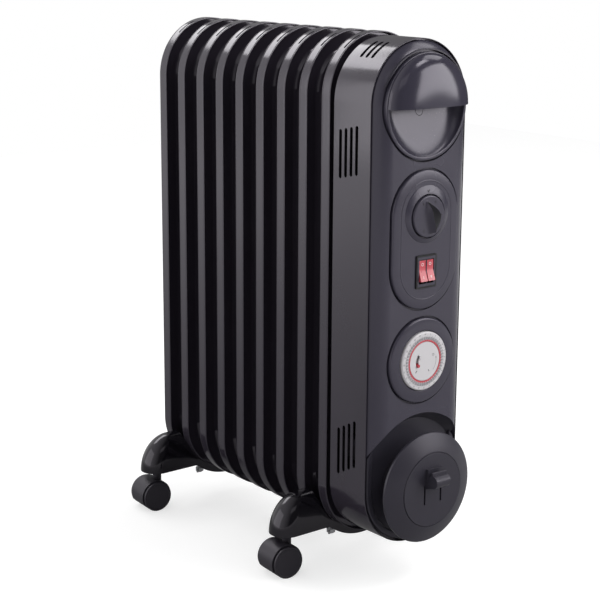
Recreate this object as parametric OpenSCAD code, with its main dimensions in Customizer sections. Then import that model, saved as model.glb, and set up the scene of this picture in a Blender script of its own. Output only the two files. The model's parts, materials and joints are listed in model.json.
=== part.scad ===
// Oil filled column radiator: nine welded steel fins on two header tubes, a control
// housing on the front end, a cord spool under the controls, and four twin-wheel casters.
// +X runs across the fins, -Y points out of the control panel, +Z is up.
// The origin is on the floor, in the middle of the overall box.

/* [Radiator] */
// Number of fins
fin_count = 9; // [9:1:9]
// Distance between neighbouring fins
fin_pitch = 40; // [38:0.5:44]
// Width of the fins and of the control housing
fin_w = 140; // [136:1:144]
// Depth of the flat flange round each fin
flange_w = 14.4; // [12:0.2:16]
// Height of the lowest point of the fins above the floor
fin_bottom = 40.3; // [38:0.1:44]
// Height of the highest point of the fins above the floor
fin_top = 627.3; // [600:0.1:640]
// Sheet thickness of the flange
sheet = 1.2; // [1:0.1:1.6]

/* [Housing] */
// Depth of the side shell of the control housing
shell_depth = 61; // [58:1:64]
// Height of the top of the control housing
shell_top = 623.2; // [610:0.1:626]
// Height of the bottom of the control housing
shell_bottom = 47.5; // [45:0.5:50]
// Wall of the moulded housing parts
wall = 2.4; // [2:0.1:3]
// Thickness of the housing's steel skin
shell_wall = 1.2; // [1:0.1:1.6]
// How far the flat middle of the cover stands in front of its rim
cover_crown = 12; // [10:0.5:13]

/* [Controls] */
// Height of the centre of the round carrying handle
handle_z = 550.5; // [548:0.5:552]
// Height of the middle of the raised control plate
plate_z = 403.9; // [400:0.1:408]
// Height of the centre of the timer
timer_z = 266.5; // [264:0.5:269]
// Radius of the thermostat knob
knob_r = 23.5; // [20:0.5:24]
// Radius of the timer dial
dial_r = 33.7; // [32:0.1:34]

/* [Cord spool] */
// Height of the centre of the cord spool
spool_z = 119.8; // [118:0.1:122]
// Radius of the domed spool disc
spool_r = 64.6; // [62:0.1:66]
// How far the cord hook reaches in front of the housing rim
hook_reach = 55; // [53:0.5:57]

/* [Feet and casters] */
// Distance from the middle to each caster stem
stem_x = 101; // [98:0.5:104]
// Place of the front foot behind the housing rim
foot_front_y = 102; // [98:1:104]
// Place of the rear foot behind the housing rim
foot_rear_y = 376; // [370:1:380]
// Width of each foot, from front to back
foot_w = 40; // [36:1:42]
// Radius of the caster wheels
wheel_r = 19.3; // [18:0.1:20]
// Turn of the wheels away from straight ahead
caster_yaw = 5; // [0:1:20]

/* [Hidden] */
$fn = 64;
// Gap that keeps a turning part clear, and the running play round a pin.
play = 0.3;
pin_play = 0.05;

// Radiator block. Distances called y are measured back from the housing's front rim.
fin_r = fin_w / 2;
fin_gap = 6.9;
fin_back = shell_depth + fin_gap + (fin_count - 1) * fin_pitch + flange_w;
rim_y = -(fin_back - hook_reach) / 2;
fin_low = fin_bottom + fin_r;
fin_high = fin_top - fin_r;
chamber_r = 52;
chamber_t = 8;
skin = 0.5;
boss_r = 31;
boss_t = 12;
neck_r = 30;
header_bore = 28;
plug_r = 17;
channel_w = 24;
channel_x = [-36, 0, 36];

// Housing. Distances called d are measured forward from the rim.
shell_low = shell_bottom + fin_r;
shell_high = shell_top - fin_r;
ledge_y = 6;
back_y = shell_depth - wall;
back_t = 1.5;
cover_r = fin_r - 2.4;
crown_flat = 46;
crown_round = 24;
slot_w = 4.7;

// Controls
plate_r = 48.5;
plate_half = 29.5;
plate_d = cover_crown + 4;
dish_d = cover_crown + 1;
ring_d = cover_crown + 1;
lip_d = 8.6;
knob_z = plate_z + 27.1;
switch_z = plate_z - 34.6;
rocker_axis_d = 12.5;
rocker_tilt = 10;
shaft_r = 3;
timer_r = 49;
spindle_r = 4;

// Cord spool
pocket_r = 84;
pocket_floor_r = 77.5;
pocket_plate_r = 80;
drum_r = 40;
disc_face_d = 37;

// Feet and casters
saddle_r = fin_r + 9;
foot_z = 50;
dome_h = 46;
dome_reach = 42;
stem_r = 4;
leg_x = neck_r + 3.2;
trail = 9;
hood_r = 20.7;
hood_w = 30;
wheel_out = 19.7;
axle_r = 2.5;

function fin_y(k) = shell_depth + fin_gap + flange_w / 2 + (fin_count - k) * fin_pitch;

// ---------- helpers ----------

// Moves what is drawn from the housing rim into the part's frame.
module from_rim() {
    translate([0, rim_y, 0]) children();
}

// Extrudes an (x, z) outline from y0 back to y1.
module along_y(y0, y1) {
    translate([0, y1, 0]) rotate([90, 0, 0]) linear_extrude(y1 - y0) children();
}

// Turns a (radius, forward distance) profile about a front-to-back axis at height z.
module turned(z, sweep = 360) {
    translate([0, 0, z]) rotate([90, 0, 0]) rotate_extrude(angle = sweep) children();
}

// The same profile run round a racetrack outline whose end arcs are centred at z0 and z1.
module racetrack(z0, z1) {
    turned(z1, 180) children();
    translate([0, 0, z0]) rotate([0, 180, 0]) translate([0, 0, -z0]) turned(z0, 180) children();
    translate([0, 0, z0]) linear_extrude(z1 - z0) {
        mirror([0, 1]) children();
        mirror([1, 0]) mirror([0, 1]) children();
    }
}

// Flat racetrack outline in (x, z).
module outline(r, z0, z1) {
    translate([0, z0]) circle(r);
    translate([0, z1]) circle(r);
    translate([-r, z0]) square([2 * r, z1 - z0]);
}

module rounded_box(x0, x1, z0, z1, r) {
    for (x = [x0 + r, x1 - r], z = [z0 + r, z1 - r])
        translate([x, z]) circle(r, $fn = 24);
    translate([x0 + r, z0]) square([x1 - x0 - 2 * r, z1 - z0]);
    translate([x0, z0 + r]) square([x1 - x0, z1 - z0 - 2 * r]);
}

// Round rod or hole along Y, from y0 back to y1.
module rod_y(r, x, z, y0, y1) {
    translate([x, y1, z]) rotate([90, 0, 0]) cylinder(r = r, h = y1 - y0);
}

module both_sides() {
    children();
    mirror([1, 0, 0]) children();
}

// ---------- radiator block ----------

// Oil way pressed into a fin: a chamber round each header joined by upright channels
// that are flattened hexagons in section. thin shrinks it to the hollow inside the sheets.
module oil_way(thin) {
    half = channel_w / 2 - 1.5 * thin;
    t = chamber_t / 2 - thin;
    for (x = channel_x)
        translate([x, 0, fin_low]) linear_extrude(fin_high - fin_low)
            polygon([[-half, 0], [-half + 4, t], [half - 4, t],
                     [half, 0], [half - 4, -t], [-half + 4, -t]]);
    for (z = [fin_low, fin_high]) rod_y(chamber_r - thin, 0, z, -t, t);
}

// Air slots through the flange on both top corners.
module flange_slots() {
    for (a = [49, 110])
        translate([0, -flange_w / 2 + 5, fin_high]) rotate([90, 0, 0])
            rotate([0, 0, a]) rotate_extrude(angle = 21)
                translate([fin_r - 4, -1]) square([8, 2]);
}

module fin(k) {
    // The last fin closes both headers; the first takes the element plug and the filler.
    bore_low = k == fin_count ? plug_r : header_bore;
    bore_high = k == fin_count ? 5 : header_bore;
    bore_end = k == 1 ? 3 : boss_t;
    color("#17171a") from_rim() translate([0, fin_y(k), 0]) difference() {
        union() {
            along_y(-flange_w / 2, flange_w / 2) difference() {
                outline(fin_r, fin_low, fin_high);
                outline(fin_r - sheet, fin_low, fin_high);
            }
            along_y(-skin, skin) outline(fin_r - sheet / 2, fin_low, fin_high);
            oil_way(0);
            for (z = [fin_low, fin_high]) rod_y(boss_r, 0, z, -boss_t / 2, boss_t / 2);
        }
        oil_way(skin);
        flange_slots();
        rod_y(bore_low, 0, fin_low, -boss_t, bore_end);
        rod_y(bore_high, 0, fin_high, -boss_t, bore_end);
    }
}

// Short tubes that join each fin's boss to the next one's.
module header(z) {
    color("#141416") from_rim()
        for (k = [2:fin_count]) difference() {
            rod_y(neck_r, 0, z, fin_y(k) + boss_t / 2, fin_y(k - 1) - boss_t / 2);
            rod_y(header_bore, 0, z, fin_y(k), fin_y(k - 1));
        }
}

plug_front = fin_y(fin_count) - boss_t / 2;

// Hairpin heating tube inside the lower header.
module heating_element() {
    far = fin_y(1) - 18;
    color("#8a8a8c") from_rim() {
        for (x = [-10, 10]) rod_y(4.2, x, fin_low, plug_front + boss_t, far);
        translate([0, far, fin_low]) rotate_extrude(angle = 180)
            translate([10, 0]) circle(4.2);
    }
}

// Hexagon plug that closes the lower header and carries the element's terminals.
module element_plug() {
    color("#b08d4c") from_rim() {
        rod_y(plug_r, 0, fin_low, plug_front, plug_front + boss_t);
        translate([0, plug_front, fin_low]) rotate([90, 0, 0]) cylinder(r = 24, h = 7, $fn = 6);
        for (x = [-10, 10]) rod_y(2.2, x, fin_low, plug_front - 17, plug_front - 7);
    }
}

module filler_plug() {
    color("#5c5c60") from_rim() {
        rod_y(5, 0, fin_high, plug_front, plug_front + boss_t);
        rod_y(9, 0, fin_high, plug_front - 4, plug_front);
    }
}

// ---------- control housing ----------

// Upright slot with round ends through the left side: its middle y, lowest z and length.
module side_slot(y, z, long) {
    translate([-fin_r - 5, y - slot_w / 2, z + slot_w / 2]) cube([10, slot_w, long - slot_w]);
    for (end = [z + slot_w / 2, z + long - slot_w / 2])
        translate([-fin_r - 5, y, end]) rotate([0, 90, 0])
            cylinder(r = slot_w / 2, h = 10, $fn = 32);
}

// Slots high and low on the side; the lower set climbs towards the front.
module side_slots() {
    for (i = [0:3]) {
        side_slot(22.3 + 9 * i, 477 - 2 * i, 54);
        side_slot(19.3 + 9 * i, 145 - 4.7 * i, 55);
    }
}

// Slots that follow the curve of the top.
module crown_slots() {
    for (i = [0:2])
        translate([0, 23.1 + 9.1 * i, shell_high]) rotate([90, 0, 0])
            rotate([0, 0, 111.5]) rotate_extrude(angle = 24)
                translate([fin_r - 5, -slot_w / 2]) square([10, slot_w]);
}

module housing_shell() {
    color("#1b1b1e") from_rim() difference() {
        union() {
            along_y(0, shell_depth) difference() {
                outline(fin_r, shell_low, shell_high);
                outline(fin_r - shell_wall, shell_low, shell_high);
            }
            along_y(ledge_y, ledge_y + wall) difference() {
                outline(fin_r - shell_wall / 2, shell_low, shell_high);
                outline(fin_r - 8.5, shell_low, shell_high);
            }
            along_y(back_y, shell_depth) difference() {
                outline(fin_r - shell_wall / 2, shell_low, shell_high);
                outline(fin_r - 10, shell_low, shell_high);
            }
        }
        both_sides() {
            side_slots();
            crown_slots();
        }
    }
}

// Steel closing plate with collars that stand on the first fin.
module housing_back() {
    color("#2a2a2c") from_rim() difference() {
        union() {
            along_y(back_y - back_t, back_y) outline(fin_r - wall - 1, shell_low, shell_high);
            rod_y(38, 0, fin_low, back_y - 1, fin_y(fin_count) - chamber_t / 2);
            rod_y(18, 0, fin_high, back_y - 1, plug_front);
        }
        rod_y(34, 0, fin_low, back_y - 5, shell_depth + 20);
        rod_y(14, 0, fin_high, back_y - 5, shell_depth + 20);
        for (i = [0:11], x = [-30, 30])
            along_y(back_y - 5, back_y + 1)
                translate([x - 14, 190 + 26 * i]) square([28, 5]);
    }
}

// Half section of the cover: flat in the middle, rolling back to the rim.
module crown_profile(inset) {
    reach = cover_r - crown_flat - inset;
    arc = crown_round - inset;
    end = asin(reach / arc);
    polygon(concat(
        [[0, -ledge_y], [0, cover_crown - inset]],
        [for (i = [0:10]) [crown_flat + arc * sin(end * i / 10),
                           cover_crown - crown_round + arc * cos(end * i / 10)]],
        [[crown_flat + reach, -ledge_y]]));
}

module cover_form(inset) {
    turned(shell_high, 180) crown_profile(inset);
    translate([0, 0, 150]) linear_extrude(shell_high - 150) {
        mirror([0, 1]) crown_profile(inset);
        mirror([1, 0]) mirror([0, 1]) crown_profile(inset);
    }
}

// Cone that opens the cover round the spool; grow makes it wider.
module pocket_cone(grow) {
    depth = cover_crown + ledge_y;
    slope = (pocket_r - pocket_floor_r) / depth;
    translate([0, ledge_y, spool_z]) rotate([90, 0, 0])
        cylinder(r1 = pocket_floor_r + grow, r2 = pocket_floor_r + grow + slope * (depth + 4),
                 h = depth + 4, $fn = 96);
}

module front_cover() {
    color("#26262a") from_rim() difference() {
        union() {
            difference() {
                cover_form(0);
                translate([0, 0.01, 0]) cover_form(wall);
            }
            // wall of the spool pocket, back to the spool plate
            intersection() {
                cover_form(wall / 2);
                difference() {
                    pocket_cone(wall);
                    along_y(ledge_y - wall, ledge_y + 1) square([300, 600], center = true);
                }
            }
        }
        pocket_cone(0);
        rod_y(pocket_plate_r + 0.2, 0, spool_z, ledge_y - wall, ledge_y + 1);
        turned(handle_z) translate([0, -1]) square([60.5, 30]);
        along_y(-30, 1) outline(plate_r + 2, plate_z - plate_half, plate_z + plate_half);
        rod_y(timer_r + 2, 0, timer_z, -30, 1);
    }
}

// ---------- cord spool ----------

// Floor of the pocket, with a raised border where it meets the lower edge of the skin.
module spool_plate() {
    color("#111113") from_rim() difference() {
        union() {
            along_y(ledge_y - wall, ledge_y) intersection() {
                outline(fin_r - 2.9, shell_low, shell_high);
                translate([0, spool_z]) circle(pocket_plate_r, $fn = 96);
            }
            intersection() {
                racetrack(shell_low, shell_high)
                    polygon([[58.7, -5], [58.7, -1.5], [60.2, 0], [65, 0], [66.4, -1.5],
                             [66.4, -5]]);
                rod_y(pocket_floor_r - 0.5, 0, spool_z, -10, 20, $fn = 96);
            }
        }
        rod_y(7, 44, spool_z - 22, 0, 10);
    }
}

module spool_drum() {
    color("#1e1e21") from_rim() difference() {
        rod_y(drum_r, 0, spool_z, -(disc_face_d - 4.2), ledge_y - wall);
        rod_y(drum_r - wall, 0, spool_z, -40, 10);
    }
}

// Section of the disc: rolled rim, rising face, raised flat centre.
module disc_profile() {
    rise = disc_face_d - 0.8 - 28.2;
    polygon(concat(
        [[0, disc_face_d - wall], [0, disc_face_d], [43, disc_face_d], [43.5, disc_face_d - 0.8]],
        [for (i = [1:10]) let (t = i / 10)
            [43.5 + (spool_r - 44.7) * t, disc_face_d - 0.8 - rise * (0.75 * t + 0.25 * t * t)]],
        [[spool_r, 27.2], [spool_r, 24.8], [spool_r - 0.8, 24], [spool_r - 2, 24]],
        [for (i = [9:-1:0]) let (t = i / 10)
            [43 + (spool_r - 46) * t, disc_face_d - 0.8 - wall - rise * (0.75 * t + 0.25 * t * t)]],
        [[drum_r, disc_face_d - 4.2], [drum_r - 3, disc_face_d - 4.2],
         [drum_r - 4, disc_face_d - wall]]));
}

module spool_disc() {
    color("#28282c") from_rim() difference() {
        turned(spool_z) disc_profile();
        for (x = [-12.3, 12.3])
            translate([x - 1.4, -60, spool_z - 16]) cube([2.8, 40, 20]);
    }
}

// Forward-reaching hook: a pad, a stout arm, and a thick rolled nose with a small ridge on it.
module cord_hook() {
    base = disc_face_d;
    nose = hook_reach - 7.4;
    color("#222226") from_rim() translate([-10.5, 0, spool_z]) rotate([90, 0, 90])
        linear_extrude(21) union() {
            translate([-nose, 13.4]) circle(7.4);
            polygon([[-nose, 6.2], [-base, 2.6], [-base, 26.4], [-base - 3.2, 26.4],
                     [-base - 3.2, 14.5], [-nose, 14.5]]);
            polygon([[-nose + 2.6, 18], [-nose + 2.6, 24], [-nose + 2, 24.6], [-nose + 0.2, 24.6],
                     [-nose - 0.4, 24], [-nose - 0.4, 18]]);
        }
}

module cord_gland() {
    x = 44;
    z = spool_z - 22;
    color("#151517") from_rim() difference() {
        union() {
            rod_y(7, x, z, ledge_y - wall, ledge_y + 8);
            rod_y(9, x, z, ledge_y - wall - 4, ledge_y - wall);
        }
        rod_y(3.8, x, z, -20, 40);
    }
}

// ---------- carrying handle ----------

module handle_bowl() {
    color("#29292e") from_rim() difference() {
        turned(handle_z) polygon(concat(
            [[0, -2]],
            [for (i = [0:9]) let (a = 90 - 10 * i) [38 + 16.5 * cos(a), 10 - 12 * sin(a)]],
            [[54.8, ring_d - 0.8], [55.6, ring_d], [57.8, ring_d], [58.5, ring_d - 0.8],
             [58.6, 6], [60.5, 6], [60.5, 0], [53, 0]],
            [for (i = [0:4]) let (a = 50 + 10 * i) [38 + 18.9 * cos(a), 10 - 14.4 * sin(a)]],
            [[0, -4.4]]));
        rod_y(2.2, 0, handle_z - 5.5, -5, 10);
    }
}

// Flattened dome over the upper half of the bowl; fingers go up behind it.
module hood_profile(r, h) {
    steps = 14;
    polygon(concat([[0, 0]],
        [for (i = [0:steps]) let (s = sin(90 * i / steps))
            [r * s, h * sqrt(max(0, 1 - pow(s, 3.2)))]]));
}

module handle_hood() {
    rise = cover_crown + 17.5 - ring_d;
    color("#2d2d33") from_rim() translate([0, -ring_d, 0]) difference() {
        turned(handle_z, 180) hood_profile(57.5, rise);
        turned(handle_z, 180) hood_profile(57.5 - wall, rise - wall);
        translate([-60, 0, handle_z - 1]) cube([120, 10, 62]);
    }
}

module handle_screw() {
    color("#303036") from_rim() {
        rod_y(2.2, 0, handle_z - 5.5, 2, 12);
        rod_y(5.2, 0, handle_z - 5.5, 1.2, 2);
    }
}

// ---------- thermostat and switches ----------

module plate_profile() {
    polygon([[0, plate_d - 2.6], [36, plate_d - 2.6], [45.4, 11.4], [46, 6], [52.4, 6],
             [52.4, lip_d], [plate_r, lip_d], [plate_r, plate_d - 2.8],
             [plate_r - 0.6, plate_d - 1.8], [plate_r - 2, plate_d - 1.1], [37, plate_d],
             [0, plate_d]]);
}

module control_plate() {
    color("#2b2b30") from_rim() difference() {
        union() {
            racetrack(plate_z - plate_half, plate_z + plate_half) plate_profile();
            rod_y(33.5, 0, knob_z, -dish_d - 0.8, -dish_d + 2.4);
        }
        translate([0, -dish_d, knob_z]) rotate([90, 0, 0])
            cylinder(r1 = 26, r2 = 26 + 5.8 * 4 / 3, h = 4);
        rod_y(5.3, 0, knob_z, -20, 0);
        along_y(-20, 0) square_at(0, switch_z, 27, 33);
    }
}

module square_at(x, z, w, h) {
    translate([x - w / 2, z - h / 2]) square([w, h]);
}

// Grip of the knob, pointing along +z. Its ridge is on the left; a broad facet falls away
// to the right, down to a bulging edge.
module grip() {
    face = 20.3;
    intersection() {
        along_y(-30, -18.5) polygon([[1.6, 18.6], [7, 13.6], [12.4, 6.8], [15.6, 0.5],
            [16.6, -6], [15.2, -11.6], [11.2, -16.2], [5.2, -18.8], [-1, -19.4],
            [-4.4, -17], [-4.2, -5], [-1.6, 10], [0.2, 18.6]]);
        translate([0, 0, -25]) linear_extrude(50)
            polygon([[-4.6, -18], [-4.6, -face], [0.4, -27.2], [1.6, -27.2], [17.4, -face],
                     [17.4, -18]]);
    }
}

// Round knob with a wedge-shaped grip that points to about half past eleven.
module thermostat_knob() {
    color("#323238") from_rim() difference() {
        union() {
            turned(knob_z) polygon([[0, dish_d + 0.4], [knob_r, dish_d + 0.4],
                [knob_r - 0.2, 17], [knob_r - 0.8, 18.7], [knob_r - 1.9, 19.9],
                [knob_r - 3.3, 20.4], [0, 20.8]]);
            translate([0, 0, knob_z]) rotate([0, -15, 0]) grip();
        }
        rod_y(shaft_r + pin_play, 0, knob_z, -18.3, 0);
    }
}

module thermostat_body() {
    color("#c9c4b4") from_rim() {
        along_y(-6, 22) square_at(0, knob_z, 42, 32);
        rod_y(9, 0, knob_z, -dish_d + 2.4, -6);
        rod_y(5, 0, knob_z, -dish_d, -dish_d + 2.4);
        rod_y(shaft_r, 0, knob_z, -18, -dish_d);
    }
}

module switch_frame() {
    color("#1a1a1c") from_rim() {
        difference() {
            union() {
                along_y(-plate_d - 1.6, -plate_d) rounded_box(-15, 15, switch_z - 18.65,
                                                              switch_z + 18.65, 1.5);
                along_y(-plate_d, -4) square_at(0, switch_z, 26.4, 32.4);
            }
            along_y(-20, 0) square_at(-5.65, switch_z, 10.5, 27.2);
            along_y(-20, 0) square_at(5.65, switch_z, 10.5, 27.2);
        }
        // axle that both rockers tip on
        translate([-12, -rocker_axis_d, switch_z]) rotate([0, 90, 0]) cylinder(r = 1.45, h = 24);
    }
}

// Rocker tipped with its upper end pressed in; x is its middle.
module rocker(x) {
    width = 9.8;
    color("#c9232b") from_rim()
        translate([x - width / 2, -rocker_axis_d, switch_z]) rotate([-rocker_tilt, 0, 0])
            rotate([90, 0, 90]) linear_extrude(width) difference() {
                polygon([[-6.7, 11.8], [-4.7, 0], [-6.7, -11.8], [-2, -11.8],
                         [4, -5], [4, 5], [-2, 11.8]]);
                circle(1.45 + pin_play, $fn = 48);
            }
}

module switch_body() {
    color("#141414") from_rim() {
        along_y(-4, 10) square_at(0, switch_z, 25, 31);
        for (x = [-7, 7], z = [-10, 0, 10])
            along_y(10, 17) square_at(x, switch_z + z, 0.8, 6.3);
    }
}

// ---------- timer ----------

module timer_bezel() {
    color("#2b2b30") from_rim() turned(timer_z)
        polygon([[34.3, 6], [52.4, 6], [52.4, lip_d], [timer_r, lip_d], [timer_r, plate_d - 2.8],
                 [timer_r - 0.6, plate_d - 1.8], [timer_r - 2, plate_d - 1.1], [39, plate_d],
                 [35.2, plate_d], [34.3, plate_d - 0.9]]);
}

// Turning ring with the hours; its hub runs on the fixed spindle.
module timer_dial() {
    color("#e8e8ea") from_rim() turned(timer_z)
        polygon([[spindle_r + pin_play, 9], [spindle_r + pin_play, 14.7], [22.7, 14.7],
                 [22.7, 18.1], [23, 18.4], [dial_r - 1.2, 18.4], [dial_r, 17.2],
                 [dial_r, 9]]);
}

// Ring of small switching segments on the dial, one for each half hour.
module timer_tappets() {
    color("#b9b9bd") from_rim()
        for (i = [0:47]) translate([0, -18.4, timer_z]) rotate([0, 7.5 * i, 0])
            rotate([90, 0, 0]) rotate_extrude(angle = 4.6, $fn = 48)
                translate([25, 0]) square([3.2, 0.9]);
}

lever_rest = 200;
lever_swing = 50;

module timer_face() {
    color("#dcdce0") from_rim() difference() {
        rod_y(22.3, 0, timer_z, -18.6, -16.9);
        translate([0, 0, timer_z]) rotate([90, 0, 0])
            rotate([0, 0, lever_rest - lever_swing - 10]) rotate_extrude(angle = lever_swing + 20)
                translate([9.3, 16]) square([4, 4]);
    }
}

// Small lever in the curved slot: timed or always on.
module timer_lever() {
    color("#cf2a33") from_rim() translate([0, 0, timer_z]) rotate([90, 0, 0])
        rotate([0, 0, lever_rest]) difference() {
            union() {
                translate([0, 0, 15]) cylinder(r = 6.4, h = 1.6);
                translate([4, -1.5, 15]) cube([7.3, 3, 1.6]);
                translate([11.3, 0, 15]) cylinder(r = 1.7, h = 5.6, $fn = 32);
            }
            translate([0, 0, 14]) cylinder(r = spindle_r + pin_play, h = 4);
        }
}

module timer_body() {
    color("#d8d4c4") from_rim() {
        along_y(-6, 24) rounded_box(-35, 35, timer_z - 35, timer_z + 35, 4);
        rod_y(spindle_r, 0, timer_z, -16.9, -6);
    }
}

// ---------- parts inside the housing ----------

inner_y = back_y - back_t;

module thermal_cutout() {
    color("#c8b98c") from_rim() {
        rod_y(9, 34, 176, inner_y - 7, inner_y);
        along_y(inner_y - 9, inner_y - 7) square_at(34, 176, 4, 14);
    }
}

module tip_switch() {
    color("#d9d9d9") from_rim() {
        along_y(inner_y - 20, inner_y) square_at(-36, 158, 28, 22);
        along_y(inner_y - 17, inner_y - 3) square_at(-36, 144.5, 20, 5);
    }
}

module terminal_block() {
    color("#efe9d8") from_rim() difference() {
        along_y(inner_y - 14, inner_y) square_at(0, 184, 46, 18);
        for (x = [-15, -5, 5, 15]) rod_y(2.4, x, 184, inner_y - 15, inner_y - 6);
    }
}

// Loom from the terminal block up to the thermostat.
module wiring_loom() {
    bend_y = inner_y - 7;
    top = knob_z - 6;
    color("#7a3b2e") from_rim() {
        translate([-15, bend_y, 193]) cylinder(r = 3, h = top - 193);
        translate([-15, bend_y, top]) sphere(3);
        rod_y(3, -15, top, 22, bend_y);
    }
}

// Pan-head screws in the rear flange of the shell.
module cover_screws() {
    color("#8d8d90") from_rim()
        for (x = [-1, 1], z = [170, 350, 500]) difference() {
            rod_y(3.5, x * (fin_r - 6.2), z, shell_depth, shell_depth + 2.2);
            along_y(shell_depth + 1.2, shell_depth + 3) {
                square_at(x * (fin_r - 6.2), z, 4.4, 0.9);
                square_at(x * (fin_r - 6.2), z, 0.9, 4.4);
            }
        }
}

// ---------- feet ----------

function dome_x(z) = 80 + dome_reach * sqrt(max(0, 1 - pow((z - foot_z) / dome_h, 2)));
function dome_half(z) =
    foot_w / 2 * pow(max(0, 1 - pow((z - foot_z) / dome_h, 2.6)), 1 / 2.6);

// Fender over one caster: stacked bullet-shaped slices, shrunk by inset for its hollow.
module fender(inset) {
    hull() for (t = [0, 0.25, 0.48, 0.68, 0.83, 0.93, 0.985]) {
        z = foot_z + dome_h * t;
        half = max(0.6, dome_half(z) - inset);
        tip = dome_x(z) - inset;
        lift = t == 0 && inset > 0 ? -1 : -inset * t;
        translate([-tip + half, 0, z + lift]) cylinder(r = half, h = 0.1, $fn = 40);
        translate([-60, -half, z + lift]) cube([20, 2 * half, 0.1]);
    }
}

module foot_arm() {
    difference() {
        union() {
            difference() {
                fender(0);
                difference() {
                    fender(2.6);
                    translate([0, foot_w, fin_low]) rotate([90, 0, 0])
                        cylinder(r = fin_r + 4, h = 2 * foot_w);
                }
            }
            translate([-stem_x, 0, foot_z + 4]) cylinder(r = 7, h = 29);
        }
        translate([-stem_x, 0, foot_z]) cylinder(r = stem_r + pin_play, h = 27);
    }
}

// Saddle under the fins with a fender and caster socket at each end.
module foot(y) {
    color("#101012") from_rim() translate([0, y, 0]) difference() {
        union() {
            both_sides() foot_arm();
            along_y(-foot_w / 2, foot_w / 2) intersection() {
                translate([0, fin_low]) circle(saddle_r);
                translate([-58, 20]) square([116, 50]);
            }
            for (x = [-leg_x, leg_x]) translate([x, 0, 38]) cylinder(r = 8, h = 6);
        }
        rod_y(fin_r + 0.1, 0, fin_low, -foot_w, foot_w);
        for (x = [-leg_x, leg_x]) translate([x, 0, 20]) {
            cylinder(r = 3.3, h = 60);
            cylinder(r = 10.5, h = 18);
        }
    }
}

// U-bolt that hangs on a header neck and draws the foot up against the fins.
module ubolt(y) {
    color("#a9a9ac") from_rim() translate([0, y, fin_low]) {
        rotate([90, 0, 0]) rotate_extrude(angle = 180) translate([leg_x, 0]) circle(3, $fn = 32);
        for (x = [-leg_x, leg_x])
            translate([x, 0, 32 - fin_low]) cylinder(r = 3, h = fin_low - 32);
    }
}

module wing_nut() {
    difference() {
        union() {
            cylinder(r = 5.2, h = 4.6);
            for (s = [-1, 1]) translate([s * 7, 0, 2]) rotate([90, 0, 0])
                translate([0, 0, -1]) cylinder(r = 2.6, h = 2);
            translate([-8, -1, 1]) cube([16, 2, 2.6]);
        }
        translate([0, 0, -1]) cylinder(r = 3 + pin_play, h = 8);
    }
}

module wing_nuts() {
    color("#b4b4b8") from_rim()
        for (y = [foot_front_y, foot_rear_y], x = [-leg_x, leg_x])
            translate([x, y, 38 - 4.6]) rotate([0, 0, 35]) wing_nut();
}

// ---------- casters ----------

// Places a caster at its socket; right-hand casters mirror the left-hand ones.
module caster_at(side, y) {
    from_rim() mirror([side > 0 ? 1 : 0, 0, 0])
        translate([-stem_x, y, 0]) rotate([0, 0, -caster_yaw]) children();
}

module caster(side, y) {
    color("#1f1f22") caster_at(side, y) {
        difference() {
            union() {
                translate([-trail, hood_w / 2, wheel_r]) rotate([90, 0, 0])
                    cylinder(r = hood_r, h = hood_w);
                translate([0, 0, wheel_r + 10]) cylinder(r = 5.6, h = foot_z + 3.7 - wheel_r - 10);
            }
            for (s = [-1, 1])
                translate([-trail, s * (hood_w / 2 + 1.5) + (hood_w / 2), wheel_r])
                    rotate([90, 0, 0]) cylinder(r = wheel_r + 0.4, h = hood_w);
            translate([-trail - 30, -30, -10]) cube([60, 60, 20]);
        }
        translate([0, 0, foot_z]) cylinder(r = stem_r, h = 25);
        translate([-trail, 13, wheel_r]) rotate([90, 0, 0]) cylinder(r = axle_r, h = 26);
    }
}

// Wheel on the front (s = -1) or back (s = 1) of the hood's web. A groove parts the tread
// under the hood from the disc that stands outside it.
module wheel(side, y, s) {
    start = 1.8;
    edge = hood_w / 2 - start + 0.3;
    face = wheel_out - start;
    color("#2b2b2f") caster_at(side, y)
        translate([-trail, start * s, wheel_r]) rotate([-90 * s, 0, 0])
            rotate_extrude($fn = 72) polygon([
                [axle_r + pin_play, 0], [wheel_r - 0.6, 0], [wheel_r, 0.6], [wheel_r, edge],
                [wheel_r - 2, edge], [wheel_r - 2, edge + 1.6], [wheel_r, edge + 1.6],
                [wheel_r, face - 1.2], [wheel_r - 0.5, face - 0.4], [wheel_r - 1.5, face - 0.1],
                [wheel_r - 2.6, face - 0.1], [wheel_r - 3.1, face - 0.6],
                [wheel_r - 3.6, face - 0.1], [8, face], [0, face],
                [0, 11.6], [axle_r + pin_play, 11.6]]);
}

fin(1);  // fin_1
fin(2);  // fin_2
fin(3);  // fin_3
fin(4);  // fin_4
fin(5);  // fin_5
fin(6);  // fin_6
fin(7);  // fin_7
fin(8);  // fin_8
fin(9);  // fin_9
header(fin_high);  // header_top
header(fin_low);  // header_bottom
heating_element();
element_plug();
filler_plug();
housing_shell();
housing_back();
front_cover();
spool_plate();
spool_drum();
spool_disc();
cord_hook();
cord_gland();
handle_bowl();
handle_hood();
handle_screw();
control_plate();
thermostat_knob();
thermostat_body();
switch_frame();
rocker(-5.65);  // rocker_left
rocker(5.65);  // rocker_right
switch_body();
timer_bezel();
timer_dial();
timer_tappets();
timer_face();
timer_lever();
timer_body();
thermal_cutout();
tip_switch();
terminal_block();
wiring_loom();
cover_screws();
foot(foot_front_y);  // foot_front
foot(foot_rear_y);  // foot_rear
ubolt(foot_front_y);  // ubolt_front
ubolt(foot_rear_y);  // ubolt_rear
wing_nuts();
caster(-1, foot_front_y);  // caster_fl
caster(1, foot_front_y);  // caster_fr
caster(-1, foot_rear_y);  // caster_rl
caster(1, foot_rear_y);  // caster_rr
wheel(-1, foot_front_y, -1);  // wheel_fl_a
wheel(-1, foot_front_y, 1);  // wheel_fl_b
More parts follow.
